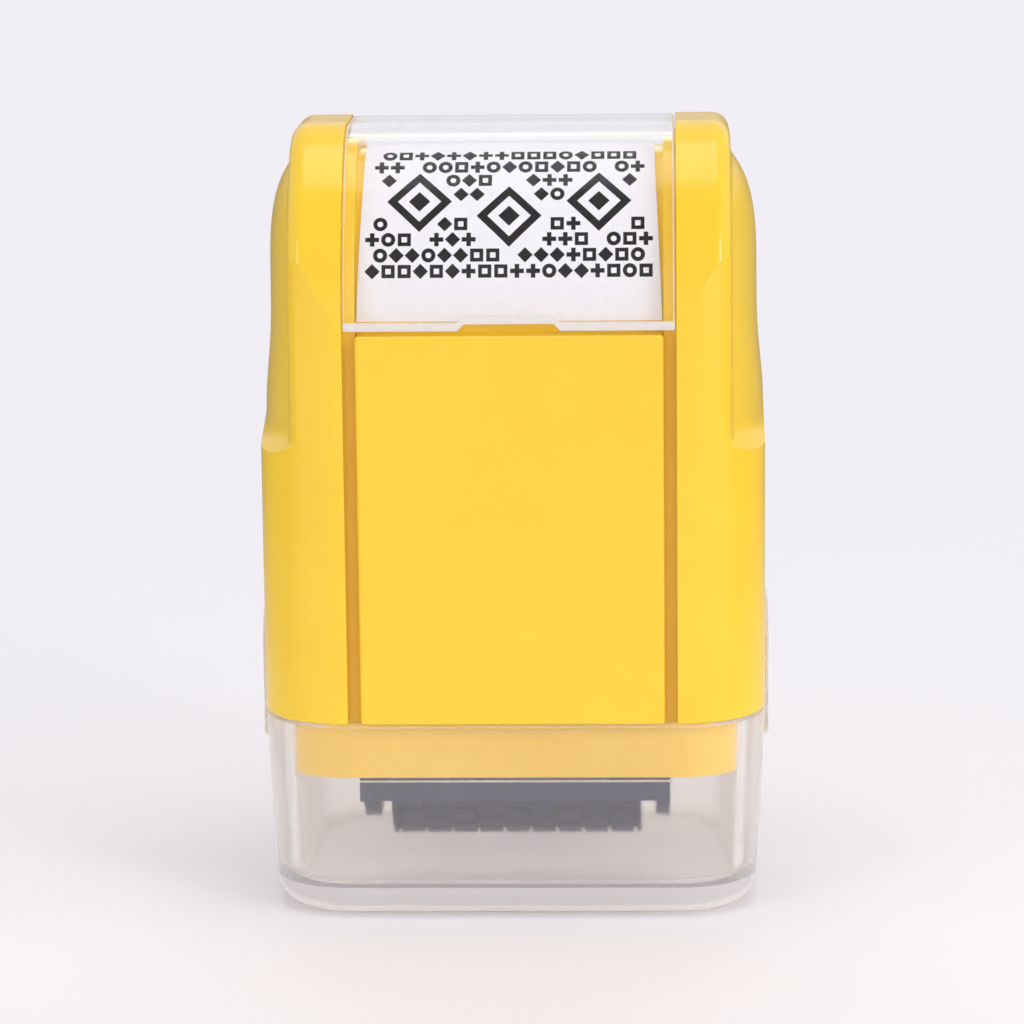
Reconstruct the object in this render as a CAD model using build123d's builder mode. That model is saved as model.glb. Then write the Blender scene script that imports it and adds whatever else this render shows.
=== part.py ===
from build123d import *

import math
import os

# Privacy roller stamp. A small drum with a raised rubber pattern is rolled
# over an address to hide it. The stamp stands on a frosted cap.
# Millimetres: X runs across, the front faces -Y, +Z is up, and the origin is
# the middle of the cap's base on the table.

# Housing
body_width = 52.0
body_depth = 34.0
body_top = 81.4
corner_radius = 9.0
shoulder_drop = 20.0
crown_radius = 8.0
lean_angle = 45.0
core_width_share = 0.6
groove_width = 1.3
groove_depth = 1.7
panel_wall = 2.0
deck_wall = 1.8
shell_edge_radius = 0.4
base_edge_radius = 0.3

# Cheeks with their hoop strip and scooped grips
pad_stand = 3.5
strip_side_width = 1.5
scoop_drop = 33.4
scoop_fillet = 3.5
pad_top_drop = 3.4
cheek_wall = 2.0
strip_edge_radius = 1.8
# How far up the pad and how far out of its flank it still stands there, as
# shares of the pad's height and of its greatest reach past the hoop
pad_shares = (
    (0.36, 0.85),
    (0.60, 0.80),
    (0.79, 0.72),
    (0.88, 0.55),
    (0.94, 0.33),
    (1.0, 0.0),
    (1.05, -0.3),
)
overrun = 4.0

# Label deck, label and window cover
panel_drop = 20.4
deck_drop = 2.8
label_thickness = 0.25
label_gap = 0.05
label_side_gap = 0.1
label_taper = 0.9
cover_wall = 1.2
cover_inset = 0.15
cover_side_gap = 0.15
cover_base_gap = 0.5
cover_edge_radius = 0.2
cover_bevel = 0.4
notch_width = 9.0
notch_height = 0.7

# Cap
cap_height = 20.5
cap_draft = 0.9
cap_floor = 3.0
cap_base_radius = 3.5
cap_inner_radius = 1.5
cap_inner_draft = 0.6
ear_width = 14.0
ear_height = 10.5
ear_root = 3.0
ear_thickness = 0.8
ear_proud = 0.4
ear_corner = 4.0
ear_gap = 0.25
ear_edge_radius = 0.25

# Neck frame that plugs into the cap
neck_inset = 2.9
neck_plunge = 5.8
neck_wall = 1.6
neck_plate = 1.6
seat_gap = 0.3
neck_gap = 0.3

# Screws that hold the neck to the cheeks
screw_radius = 1.0
screw_head_radius = 1.9
screw_head_height = 1.2
screw_length = 7.5
screw_inset = 4.5
screw_gap = 0.05
screw_slot_width = 0.5
screw_slot_depth = 0.5
boss_wall = 1.2

# Pegs that lock the cheeks on the two centre shells
peg_radius = 1.5
peg_depth_place = 8.0
peg_low_share = 0.34
peg_high_share = 0.63
peg_gap = 0.05

# Dowels between the two centre shells
dowel_radius = 1.0
dowel_length = 3.0
dowel_gap = 0.05
dowel_boss_wall = 1.2
dowel_across = 9.0
dowel_drop = 12.4

# Ink cartridge
cartridge_room = 0.5
hood_end_inset = 1.0
hood_base_drop = 3.4
hood_wall = 1.4
hood_lip_height = 2.3
hood_lip_step = 0.3
plate_thickness = 1.5
plate_nose_inset = 1.8
cartridge_gap = 0.3

# Stamp drum
drum_side_room = 1.1
drum_floor_room = 2.5
drum_end_room = 1.55
sleeve_thickness = 2.7
drum_nose_radius = 3.2
drum_axle_radius = 1.5
running_gap = 0.05
end_float = 0.1
fixed_gap = 0.02
relief_depth = 0.45
relief_gap = 0.35
relief_rows = 9
relief_columns = 22
relief_end_margin = 0.6
bush_radius = 2.6
bush_flange_radius = 3.6
bush_flange = 0.6
hub_recess_radius = 5.4
hub_recess_depth = 1.0

# Ink roller and felt
roller_radius = 5.0
roller_core_radius = 2.4
roller_axle_radius = 1.2
roller_end_room = 2.1
felt_cover = 3.6
felt_wrap_share = 0.4
roller_gap = 0.2
felt_gap = 0.3
felt_side_gap = 0.4

# Sizes worked out from the ones above
body_base = cap_height + seat_gap
half_depth = body_depth / 2
half_width = body_width / 2
shoulder_height = body_top - shoulder_drop
core_width = core_width_share * body_width
cheek_inner = core_width / 2 + groove_width
hoop_half_width = half_width - pad_stand
corner_run = math.sqrt(corner_radius**2 - (corner_radius - pad_stand) ** 2)
pad_half_depth = half_depth - corner_radius + corner_run - strip_side_width
scoop_base = body_top - scoop_drop
pad_height = scoop_drop - pad_top_drop
panel_top = body_top - panel_drop
dowel_height = body_top - dowel_drop
lean_rise = body_top - shoulder_height - crown_radius
lean_radius = crown_radius + lean_rise / math.sin(math.radians(lean_angle))
lean_centre = half_depth - lean_radius
lean_end = shoulder_height + lean_radius * math.sin(math.radians(lean_angle))
crown_centre = lean_centre + lean_rise / math.tan(math.radians(lean_angle))
neck_width = body_width - 2 * neck_inset
neck_depth = body_depth - 2 * neck_inset
neck_radius = corner_radius - neck_inset
neck_base = cap_height - neck_plunge
screw_depth_place = neck_depth / 2 - neck_wall - screw_inset
cartridge_depth = neck_depth - 2 * neck_wall - 2 * cartridge_room
hood_half_width = core_width / 2 - hood_end_inset
core_inner = hood_half_width + cartridge_gap
cover_base = panel_top + cover_base_gap
label_base = cover_base + notch_height
cover_half_width = cheek_inner - cover_side_gap
cap_base_width = body_width - 2 * cap_draft
cap_base_depth = body_depth - 2 * cap_draft
rim_inner_width = neck_width + 2 * neck_gap
rim_inner_depth = neck_depth + 2 * neck_gap
rim_inner_radius = neck_radius + neck_gap
plate_outer = hood_half_width + plate_thickness
opening_width = 2 * (plate_outer + cartridge_gap)
opening_depth = cartridge_depth + 2 * cartridge_gap
screw_across = (opening_width / 2 + neck_width / 2 - neck_wall) / 2
ear_outer = half_width + ear_proud
ear_inner = ear_outer - ear_thickness
ear_top = cap_height + ear_height
ear_recess = ear_thickness - ear_proud + ear_gap
drum_radius = cartridge_depth / 2 - hood_wall - drum_side_room
drum_axis_height = cap_floor + drum_floor_room + drum_radius
drum_length = 2 * (hood_half_width - drum_end_room)
drum_hub_radius = drum_radius - sleeve_thickness
plate_nose_radius = drum_radius - plate_nose_inset
roller_axis_height = drum_axis_height + drum_radius + roller_gap + roller_radius
roller_length = 2 * (hood_half_width - roller_end_room)
hood_base = drum_axis_height - hood_base_drop
felt_top = roller_axis_height + roller_radius + felt_gap + felt_cover
hood_top = felt_top + hood_wall
peg_low = hood_top + peg_low_share * (body_top - hood_top)
peg_high = hood_top + peg_high_share * (body_top - hood_top)


def across(x, height=0.0):
    """Plane that faces +X at this place, centred at this height."""
    return Plane(origin=(x, 0, height), x_dir=(0, 1, 0), z_dir=(1, 0, 0))


def side_profile(x, inset, base):
    """The housing's arch seen from the side, drawn in by inset."""
    with BuildSketch(across(x)) as profile:
        with BuildLine():
            wall = Line((half_depth - inset, base), (half_depth - inset, shoulder_height))
            lean = JernArc(wall @ 1, (0, 1), lean_radius - inset, lean_angle)
            crown = JernArc(lean @ 1, lean % 1, crown_radius - inset, 90 - lean_angle)
            Line(crown @ 1, (0, body_top - inset))
            Line((0, base), wall @ 0)
            mirror(about=Plane.YZ)
        make_face()
    return profile.sketch


def side_reach(height):
    """Half of the housing's depth at this height."""
    if height <= shoulder_height:
        return half_depth
    if height <= lean_end:
        return lean_centre + math.sqrt(lean_radius**2 - (height - shoulder_height) ** 2)
    drop = min(height - body_top + crown_radius, crown_radius)
    return crown_centre + math.sqrt(crown_radius**2 - drop**2)


def ear_outline(x, gap):
    """Outline of the cap's clip ear at this place across, grown by gap."""
    with BuildSketch(across(x, ear_top)) as outline:
        with Locations((0, gap)):
            ear = Rectangle(
                ear_width + 2 * gap,
                ear_height + ear_root + 2 * gap,
                align=(Align.CENTER, Align.MAX),
            )
        fillet(ear.vertices().group_by(Axis.Y)[-1], ear_corner + gap)
    return outline.sketch


# Cheek: one moulded shell with a hoop strip, a scooped grip and a flat flank,
# open on its inner side, with pegs for the centre shells and screw bosses
pad_turn_radius = (pad_half_depth**2 + pad_stand**2) / (2 * pad_stand)
pad_axis = Axis((half_width - pad_turn_radius, 0, 0), (0, 0, 1))
pad_points = [(half_width, scoop_base + scoop_fillet)]
for height_share, stand_share in pad_shares:
    pad_points.append(
        (hoop_half_width + stand_share * pad_stand, scoop_base + height_share * pad_height)
    )
scoop_outside = half_width + scoop_fillet + overrun
scoop_top = body_top + overrun
with BuildPart() as scoop:
    with BuildSketch(Plane.XZ):
        with BuildLine():
            pad_face = Spline(*pad_points, tangents=((0, 1), (-1, 1)))
            foot = RadiusArc((half_width + scoop_fillet, scoop_base), pad_face @ 0, scoop_fillet)
            Polyline(
                pad_face @ 1,
                ((pad_face @ 1).X, scoop_top),
                (scoop_outside, scoop_top),
                (scoop_outside, scoop_base),
                foot @ 0,
            )
        make_face()
    revolve(axis=pad_axis)
    with BuildSketch(Plane.XY.offset(scoop_base)):
        with Locations((hoop_half_width, 0)):
            Rectangle(scoop_outside, body_depth, align=(Align.MIN, Align.CENTER))
    extrude(amount=scoop_top - scoop_base, mode=Mode.INTERSECT)

with BuildPart() as right_cheek:
    extrude(side_profile(cheek_inner, 0, body_base), amount=half_width - cheek_inner)
    with BuildSketch(Plane.XY.offset(body_base)):
        RectangleRounded(body_width, body_depth, corner_radius)
    extrude(amount=body_top - body_base, mode=Mode.INTERSECT)
    base_edges = right_cheek.edges().filter_by_position(Axis.Z, body_base, body_base)
    fillet(base_edges.sort_by(Axis.X)[1:], base_edge_radius)
    add(scoop.part, mode=Mode.SUBTRACT)
    # Hollow behind the hoop, and a deeper one behind the flat flank below
    pocket_base = body_base + cheek_wall
    pocket = side_profile(cheek_inner, cheek_wall, pocket_base)
    extrude(pocket, amount=hoop_half_width - cheek_wall - cheek_inner, mode=Mode.SUBTRACT)
    flank_pocket = half_width - ear_recess - cheek_wall - cheek_inner
    with BuildSketch(Plane.XY.offset(pocket_base)):
        with Locations((cheek_inner, 0)):
            Rectangle(
                flank_pocket, 2 * (half_depth - corner_radius), align=(Align.MIN, Align.CENTER)
            )
    extrude(amount=scoop_base - cheek_wall - pocket_base, mode=Mode.SUBTRACT)
    # Rounded outer edge of the hoop strip, from its foot over the top
    strip_edges = (
        right_cheek.edges()
        .filter_by_position(Axis.X, hoop_half_width - fixed_gap, hoop_half_width + fixed_gap)
        .filter_by(lambda edge: edge.bounding_box().size.X < fixed_gap)
        .filter_by(
            lambda edge: abs(edge.center().Y) > pad_half_depth + fixed_gap
            or edge.center().Z > body_top - fixed_gap
        )
    )
    fillet(strip_edges, strip_edge_radius)
    # Shallow recess for the cap's clip ear
    ear_room = ear_outline(half_width - ear_recess, ear_gap)
    extrude(ear_room, amount=overrun, mode=Mode.SUBTRACT)
    # Pegs that pass through the centre shells' side walls
    peg_grid_height = (peg_low + peg_high) / 2
    with BuildSketch(across(core_inner, peg_grid_height)):
        with GridLocations(2 * peg_depth_place, peg_high - peg_low, 2, 2):
            Circle(peg_radius)
    extrude(amount=hoop_half_width - cheek_wall / 2 - core_inner)
    # Bosses with blind holes for the neck screws
    with BuildSketch(Plane.XY.offset(body_base)):
        with Locations((screw_across, 0)):
            with GridLocations(0, 2 * screw_depth_place, 1, 2):
                Circle(screw_radius + screw_gap + boss_wall)
    extrude(amount=screw_length + boss_wall)
    with BuildSketch(Plane.XY.offset(body_base)):
        with Locations((screw_across, 0)):
            with GridLocations(0, 2 * screw_depth_place, 1, 2):
                Circle(screw_radius + screw_gap)
    extrude(amount=screw_length, mode=Mode.SUBTRACT)

with BuildPart() as left_cheek:
    mirror(right_cheek.part, about=Plane.YZ)

# Centre housing: a smooth panel between two grooves, with a label deck set
# down over the top and side walls open for the cartridge
with BuildPart() as panel_block:
    extrude(side_profile(0, 0, body_base), amount=core_width / 2, both=True)
    with BuildSketch(Plane.XY.offset(body_base)):
        Rectangle(core_width, body_depth)
    extrude(amount=panel_top - body_base, mode=Mode.INTERSECT)
    fillet(panel_block.edges().filter_by(Axis.Z), shell_edge_radius)
    fillet(panel_block.edges().group_by(Axis.Z)[-1].filter_by(Axis.X), shell_edge_radius)
    fillet(panel_block.edges().group_by(Axis.Z)[0].filter_by(Axis.X), base_edge_radius)

with BuildPart() as core_block:
    extrude(side_profile(0, deck_drop, body_base), amount=cheek_inner, both=True)
    extrude(side_profile(core_width / 2, groove_depth, body_base), amount=groove_width)
    extrude(side_profile(-cheek_inner, groove_depth, body_base), amount=groove_width)
    add(panel_block.part)
    # Room inside: wide behind the panels, narrower under the deck
    cavity_depth = 2 * (half_depth - panel_wall)
    with BuildSketch(Plane.XY.offset(body_base)):
        Rectangle(2 * core_inner, cavity_depth)
    extrude(amount=panel_top - panel_wall - body_base, mode=Mode.SUBTRACT)
    deck_room = side_profile(0, deck_drop + deck_wall, body_base)
    extrude(deck_room, amount=core_inner, both=True, mode=Mode.SUBTRACT)
    # Side walls cut away where the cartridge's end plates slide up
    with BuildSketch(across(0, body_base)):
        Rectangle(opening_depth, 2 * (hood_top + cartridge_gap - body_base))
    extrude(amount=cheek_inner, both=True, mode=Mode.SUBTRACT)
    with BuildSketch(across(0, peg_grid_height)):
        with GridLocations(2 * peg_depth_place, peg_high - peg_low, 2, 2):
            Circle(peg_radius + peg_gap)
    extrude(amount=cheek_inner, both=True, mode=Mode.SUBTRACT)

# The two shells part at mid-depth and are lined up by two dowels
dowel_boss_radius = dowel_radius + dowel_gap + dowel_boss_wall
boss_reach = side_reach(dowel_height + dowel_boss_radius) - deck_drop - deck_wall / 2
with BuildPart() as front_shell:
    add(core_block.part)
    split(bisect_by=Plane.XZ, keep=Keep.TOP)
    with BuildSketch(Plane.XZ):
        with Locations((0, dowel_height)):
            with GridLocations(2 * dowel_across, 0, 2, 1):
                Circle(dowel_boss_radius)
    extrude(amount=boss_reach)
    with BuildSketch(Plane.XZ):
        with Locations((0, dowel_height)):
            with GridLocations(2 * dowel_across, 0, 2, 1):
                Circle(dowel_radius + dowel_gap)
    extrude(amount=dowel_length + end_float, mode=Mode.SUBTRACT)

with BuildPart() as rear_shell:
    add(core_block.part)
    split(bisect_by=Plane.XZ, keep=Keep.BOTTOM)
    with BuildSketch(Plane.XZ):
        with Locations((0, dowel_height)):
            with GridLocations(2 * dowel_across, 0, 2, 1):
                Circle(dowel_boss_radius)
    extrude(amount=-boss_reach)
    with BuildSketch(Plane.XZ):
        with Locations((0, dowel_height)):
            with GridLocations(2 * dowel_across, 0, 2, 1):
                Circle(dowel_radius)
    extrude(amount=dowel_length)

# Paper label bent over the deck, its sides drawn in towards the top
label_inset = deck_drop - label_gap
label_half_width = core_width / 2 - label_side_gap
with BuildPart() as label_card:
    outer_face = side_profile(0, label_inset - label_thickness, scoop_base)
    inner_face = side_profile(0, label_inset, scoop_base)
    extrude(outer_face, amount=label_half_width, both=True)
    extrude(inner_face, amount=label_half_width, both=True, mode=Mode.SUBTRACT)
    with BuildSketch(Plane.XZ):
        with BuildLine():
            Polyline(
                (0, label_base),
                (label_half_width, label_base),
                (label_half_width - label_taper, body_top),
                (0, body_top),
            )
            mirror(about=Plane.YZ)
        make_face()
    extrude(amount=half_depth, both=True, mode=Mode.INTERSECT)

# Clear window cover that saddles the top, with a fingernail notch
with BuildPart() as window_cover:
    extrude(side_profile(0, cover_inset, scoop_base), amount=cover_half_width, both=True)
    # Straight lower edge with a slope-sided notch, bevelled on its outside
    with BuildSketch(Plane.XZ):
        with BuildLine():
            notch_side = Line(
                (notch_width / 2 + notch_height, cover_base),
                (notch_width / 2, cover_base + notch_height),
            )
            Line(notch_side @ 1, (0, cover_base + notch_height))
            Polyline(
                notch_side @ 0, (cheek_inner, cover_base), (cheek_inner, scoop_base), (0, scoop_base)
            )
            mirror(about=Plane.YZ)
        make_face()
    extrude(amount=half_depth, both=True, mode=Mode.SUBTRACT)
    lower_edges = (
        window_cover.edges()
        .filter_by(lambda edge: edge.bounding_box().max.Z < cover_base + 2 * notch_height)
        .filter_by(lambda edge: abs(edge.center().Y) > half_depth - cover_inset - cover_bevel / 2)
        .filter_by(lambda edge: edge.length > cover_bevel)
    )
    chamfer(lower_edges, cover_bevel)
    for side_face in (-cover_half_width, cover_half_width):
        arch_edges = (
            window_cover.edges()
            .filter_by_position(Axis.X, side_face, side_face)
            .filter_by(lambda edge: edge.center().Z > cover_base + cover_bevel)
        )
        fillet(arch_edges, cover_edge_radius)
    inner_face = side_profile(0, cover_inset + cover_wall, scoop_base)
    extrude(inner_face, amount=cover_half_width, both=True, mode=Mode.SUBTRACT)

# Frosted cap: drafted cup with two clip ears that rise beside the flanks
with BuildPart() as base_cap:
    with BuildSketch(Plane.XY):
        RectangleRounded(cap_base_width, cap_base_depth, corner_radius - cap_draft)
    with BuildSketch(Plane.XY.offset(cap_height)):
        RectangleRounded(body_width, body_depth, corner_radius)
    loft()
    fillet(base_cap.edges().group_by(Axis.Z)[0], cap_base_radius)
    with BuildSketch(Plane.XY.offset(cap_floor)):
        RectangleRounded(
            rim_inner_width - 2 * cap_inner_draft,
            rim_inner_depth - 2 * cap_inner_draft,
            rim_inner_radius - cap_inner_draft,
        )
    with BuildSketch(Plane.XY.offset(cap_height)):
        RectangleRounded(rim_inner_width, rim_inner_depth, rim_inner_radius)
    loft(mode=Mode.SUBTRACT)
    floor_edges = base_cap.edges().filter_by_position(Axis.Z, cap_floor, cap_floor)
    fillet(floor_edges, cap_inner_radius)
    extrude(ear_outline(ear_inner, 0), amount=ear_thickness)
    extrude(ear_outline(-ear_outer, 0), amount=ear_thickness)
    for side in (-1, 1):
        ear_edges = base_cap.edges().filter_by_position(Axis.X, side * ear_outer, side * ear_outer)
        fillet(ear_edges, ear_edge_radius)

# Neck frame: skirt that plugs into the cap, with the cartridge's opening
skirt_height = body_base - neck_base
with BuildPart() as neck_frame:
    with BuildSketch(Plane.XY.offset(neck_base)):
        RectangleRounded(neck_width, neck_depth, neck_radius)
    extrude(amount=skirt_height)
    with BuildSketch(Plane.XY.offset(neck_base)):
        RectangleRounded(
            neck_width - 2 * neck_wall, neck_depth - 2 * neck_wall, neck_radius - neck_wall
        )
    extrude(amount=skirt_height - neck_plate, mode=Mode.SUBTRACT)
    with BuildSketch(Plane.XY.offset(neck_base)):
        Rectangle(opening_width, opening_depth)
        with GridLocations(2 * screw_across, 2 * screw_depth_place, 2, 2):
            Circle(screw_radius + screw_gap)
    extrude(amount=skirt_height, mode=Mode.SUBTRACT)

# Four slotted screws through the neck's plate into the cheeks
screw_seat = body_base - neck_plate
with BuildPart() as neck_screws:
    with BuildSketch(Plane.XY.offset(screw_seat - screw_head_height)):
        with GridLocations(2 * screw_across, 2 * screw_depth_place, 2, 2):
            Circle(screw_head_radius)
    extrude(amount=screw_head_height)
    with BuildSketch(Plane.XY.offset(screw_seat)):
        with GridLocations(2 * screw_across, 2 * screw_depth_place, 2, 2):
            Circle(screw_radius)
    extrude(amount=neck_plate + screw_length - end_float)
    with BuildSketch(Plane.XY.offset(screw_seat - screw_head_height)):
        with GridLocations(2 * screw_across, 2 * screw_depth_place, 2, 2):
            Rectangle(screw_slot_width, 2 * screw_head_radius)
            Rectangle(2 * screw_head_radius, screw_slot_width)
    extrude(amount=screw_slot_depth, mode=Mode.SUBTRACT)

# Cartridge hood: an upturned channel over the drum, stepped at its lower lip
hood_inner_depth = cartridge_depth - 2 * hood_wall
with BuildPart() as cartridge_hood:
    with BuildSketch(Plane.XY.offset(hood_base)):
        Rectangle(2 * hood_half_width, cartridge_depth - 2 * hood_lip_step)
    extrude(amount=hood_lip_height)
    with BuildSketch(Plane.XY.offset(hood_base + hood_lip_height)):
        Rectangle(2 * hood_half_width, cartridge_depth)
    extrude(amount=hood_top - hood_base - hood_lip_height)
    with BuildSketch(Plane.XY.offset(hood_base)):
        Rectangle(2 * hood_half_width, hood_inner_depth)
    extrude(amount=hood_top - hood_wall - hood_base, mode=Mode.SUBTRACT)

# End plates: they close the hood and carry the drum and the ink roller
with BuildPart() as right_end_plate:
    with BuildSketch(across(hood_half_width)):
        with Locations((0, (hood_base + hood_top) / 2)):
            Rectangle(cartridge_depth, hood_top - hood_base)
        with Locations((0, drum_axis_height)):
            Circle(plate_nose_radius)
            Circle(bush_radius + fixed_gap, mode=Mode.SUBTRACT)
        with Locations((0, roller_axis_height)):
            Circle(roller_axle_radius + running_gap, mode=Mode.SUBTRACT)
    extrude(amount=plate_thickness)

with BuildPart() as left_end_plate:
    mirror(right_end_plate.part, about=Plane.YZ)

# Flanged bushes for the drum's axle
with BuildPart() as right_drum_bush:
    with BuildSketch(across(hood_half_width - bush_flange, drum_axis_height)):
        Circle(bush_flange_radius)
    extrude(amount=bush_flange)
    with BuildSketch(across(hood_half_width, drum_axis_height)):
        Circle(bush_radius)
    extrude(amount=plate_thickness)
    with BuildSketch(across(hood_half_width - bush_flange, drum_axis_height)):
        Circle(drum_axle_radius + running_gap)
    extrude(amount=bush_flange + plate_thickness, mode=Mode.SUBTRACT)

with BuildPart() as left_drum_bush:
    mirror(right_drum_bush.part, about=Plane.YZ)

# Drum hub with a nose at each end that runs against the bushes
nose_half_length = hood_half_width - bush_flange - end_float
with BuildPart() as drum_hub:
    with BuildSketch(across(0, drum_axis_height)):
        Circle(drum_hub_radius)
    extrude(amount=drum_length / 2, both=True)
    for recess_start in (-drum_length / 2, drum_length / 2 - hub_recess_depth):
        with BuildSketch(across(recess_start, drum_axis_height)):
            Circle(hub_recess_radius)
    extrude(amount=hub_recess_depth, mode=Mode.SUBTRACT)
    with BuildSketch(across(0, drum_axis_height)):
        Circle(drum_nose_radius)
    extrude(amount=nose_half_length, both=True)
    with BuildSketch(across(0, drum_axis_height)):
        Circle(drum_axle_radius + fixed_gap)
    extrude(amount=nose_half_length, both=True, mode=Mode.SUBTRACT)

# Rubber sleeve whose raised blocks print the masking pattern
row_pitch = (drum_length - 2 * relief_end_margin) / relief_rows
block_turn = 360 / relief_columns
with BuildPart() as stamp_sleeve:
    with BuildSketch(across(0, drum_axis_height)):
        Circle(drum_radius)
        Circle(drum_hub_radius + fixed_gap, mode=Mode.SUBTRACT)
    extrude(amount=drum_length / 2, both=True)
    for row in range(relief_rows + 1):
        row_place = (row - relief_rows / 2) * row_pitch
        with BuildSketch(across(row_place - relief_gap / 2, drum_axis_height)):
            Circle(drum_radius + overrun)
            Circle(drum_radius - relief_depth, mode=Mode.SUBTRACT)
    extrude(amount=relief_gap, mode=Mode.SUBTRACT)
    for row in range(relief_rows):
        row_start = (row - relief_rows / 2) * row_pitch
        with BuildSketch(across(row_start, drum_axis_height)):
            with PolarLocations(
                drum_radius, relief_columns, start_angle=(row % 2) * block_turn / 2
            ):
                Rectangle(2 * relief_depth, relief_gap)
        extrude(amount=row_pitch, mode=Mode.SUBTRACT)

# Steel axle pressed through the hub
axle_half_length = plate_outer - end_float
with BuildPart() as drum_axle:
    with BuildSketch(across(0, drum_axis_height)):
        Circle(drum_axle_radius)
    extrude(amount=axle_half_length, both=True)

# Ink roller: foam on a plastic core, on its own steel axle
core_half_length = hood_half_width - end_float
with BuildPart() as ink_roller_core:
    with BuildSketch(across(0, roller_axis_height)):
        Circle(roller_core_radius)
        Circle(roller_axle_radius + fixed_gap, mode=Mode.SUBTRACT)
    extrude(amount=core_half_length, both=True)

with BuildPart() as ink_roller_foam:
    with BuildSketch(across(0, roller_axis_height)):
        Circle(roller_radius)
        Circle(roller_core_radius + fixed_gap, mode=Mode.SUBTRACT)
    extrude(amount=roller_length / 2, both=True)

with BuildPart() as ink_roller_axle:
    with BuildSketch(across(0, roller_axis_height)):
        Circle(roller_axle_radius)
    extrude(amount=axle_half_length, both=True)

# Ink felt saddled over the roller, packed under the hood's top
felt_base = roller_axis_height + felt_wrap_share * roller_radius
with BuildPart() as ink_felt:
    with BuildSketch(Plane.XY.offset(felt_base)):
        Rectangle(roller_length, hood_inner_depth - 2 * felt_side_gap)
    extrude(amount=felt_top - felt_base)
    with BuildSketch(across(0, roller_axis_height)):
        Circle(roller_radius + felt_gap)
    extrude(amount=roller_length / 2, both=True, mode=Mode.SUBTRACT)

pieces = {
    "base_cap": base_cap,
    "front_shell": front_shell,
    "rear_shell": rear_shell,
    "left_cheek": left_cheek,
    "right_cheek": right_cheek,
    "window_cover": window_cover,
    "label_card": label_card,
    "neck_frame": neck_frame,
    "neck_screws": neck_screws,
    "cartridge_hood": cartridge_hood,
    "left_end_plate": left_end_plate,
    "right_end_plate": right_end_plate,
    "left_drum_bush": left_drum_bush,
    "right_drum_bush": right_drum_bush,
    "drum_hub": drum_hub,
    "stamp_sleeve": stamp_sleeve,
    "drum_axle": drum_axle,
    "ink_roller_core": ink_roller_core,
    "ink_roller_foam": ink_roller_foam,
    "ink_roller_axle": ink_roller_axle,
    "ink_felt": ink_felt,
}

os.makedirs("parts", exist_ok=True)
for piece_name, piece in pieces.items():
    piece.part.label = piece_name
    export_step(piece.part, f"parts/{piece_name}.step")
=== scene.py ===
import math

import bmesh
import bpy
from mathutils import Matrix, Vector


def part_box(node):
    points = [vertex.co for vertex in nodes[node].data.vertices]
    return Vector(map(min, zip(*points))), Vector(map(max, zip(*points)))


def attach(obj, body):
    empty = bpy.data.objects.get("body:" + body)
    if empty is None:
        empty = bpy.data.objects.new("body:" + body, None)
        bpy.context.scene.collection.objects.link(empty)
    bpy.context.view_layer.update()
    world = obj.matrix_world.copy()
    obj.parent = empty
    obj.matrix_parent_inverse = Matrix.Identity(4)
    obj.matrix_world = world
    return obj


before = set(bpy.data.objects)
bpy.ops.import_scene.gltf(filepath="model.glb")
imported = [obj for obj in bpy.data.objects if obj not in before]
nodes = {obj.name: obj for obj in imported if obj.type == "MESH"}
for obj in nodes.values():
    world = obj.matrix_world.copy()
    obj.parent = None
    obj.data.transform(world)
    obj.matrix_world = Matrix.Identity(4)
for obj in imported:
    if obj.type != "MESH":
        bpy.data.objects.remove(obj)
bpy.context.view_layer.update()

# Ink roller
# A steel axle carries a natural white plastic core with a sleeve of fine
# open-cell foam, soaked black. It lies along the drum and inks it as it turns.


def new_finish(name):
    """An empty material with its Principled shader."""
    finish = bpy.data.materials.new(name)
    finish.use_nodes = True
    shader = finish.node_tree.nodes["Principled BSDF"]
    return finish, finish.node_tree, shader


def dress(finish, *names):
    """Gives these CAD pieces this finish."""
    for name in names:
        for material_slot in nodes[name].material_slots:
            material_slot.material = finish


def wire(tree, socket, source):
    """Sets a socket to a plain value, or joins it to another node's socket."""
    if isinstance(source, bpy.types.NodeSocket):
        tree.links.new(source, socket)
    else:
        socket.default_value = source


def place(tree):
    """Object coordinates, in metres."""
    return tree.nodes.new("ShaderNodeTexCoord").outputs["Object"]


def stretched(tree, vector, scale):
    """The pattern space drawn out unevenly, for marks that run one way."""
    mapping = tree.nodes.new("ShaderNodeMapping")
    mapping.inputs["Scale"].default_value = scale
    wire(tree, mapping.inputs["Vector"], vector)
    return mapping.outputs["Vector"]


def noise(tree, vector, scale, detail=3.0, roughness=0.55):
    """A soft noise mask at this many cells a metre."""
    texture = tree.nodes.new("ShaderNodeTexNoise")
    wire(tree, texture.inputs["Vector"], vector)
    texture.inputs["Scale"].default_value = scale
    texture.inputs["Detail"].default_value = detail
    texture.inputs["Roughness"].default_value = roughness
    return texture.outputs["Fac"]


def cells(tree, vector, scale, randomness=1.0):
    """Distance to the nearest of scattered cell centres."""
    texture = tree.nodes.new("ShaderNodeTexVoronoi")
    wire(tree, texture.inputs["Vector"], vector)
    texture.inputs["Scale"].default_value = scale
    texture.inputs["Randomness"].default_value = randomness
    return texture.outputs["Distance"]


def spread(tree, mask, low, high, from_low=0.3, from_high=0.7):
    """A mask's useful range brought to low..high."""
    ranged = tree.nodes.new("ShaderNodeMapRange")
    ranged.interpolation_type = "SMOOTHSTEP"
    wire(tree, ranged.inputs["Value"], mask)
    ranged.inputs["From Min"].default_value = from_low
    ranged.inputs["From Max"].default_value = from_high
    ranged.inputs["To Min"].default_value = low
    ranged.inputs["To Max"].default_value = high
    return ranged.outputs["Result"]


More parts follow.
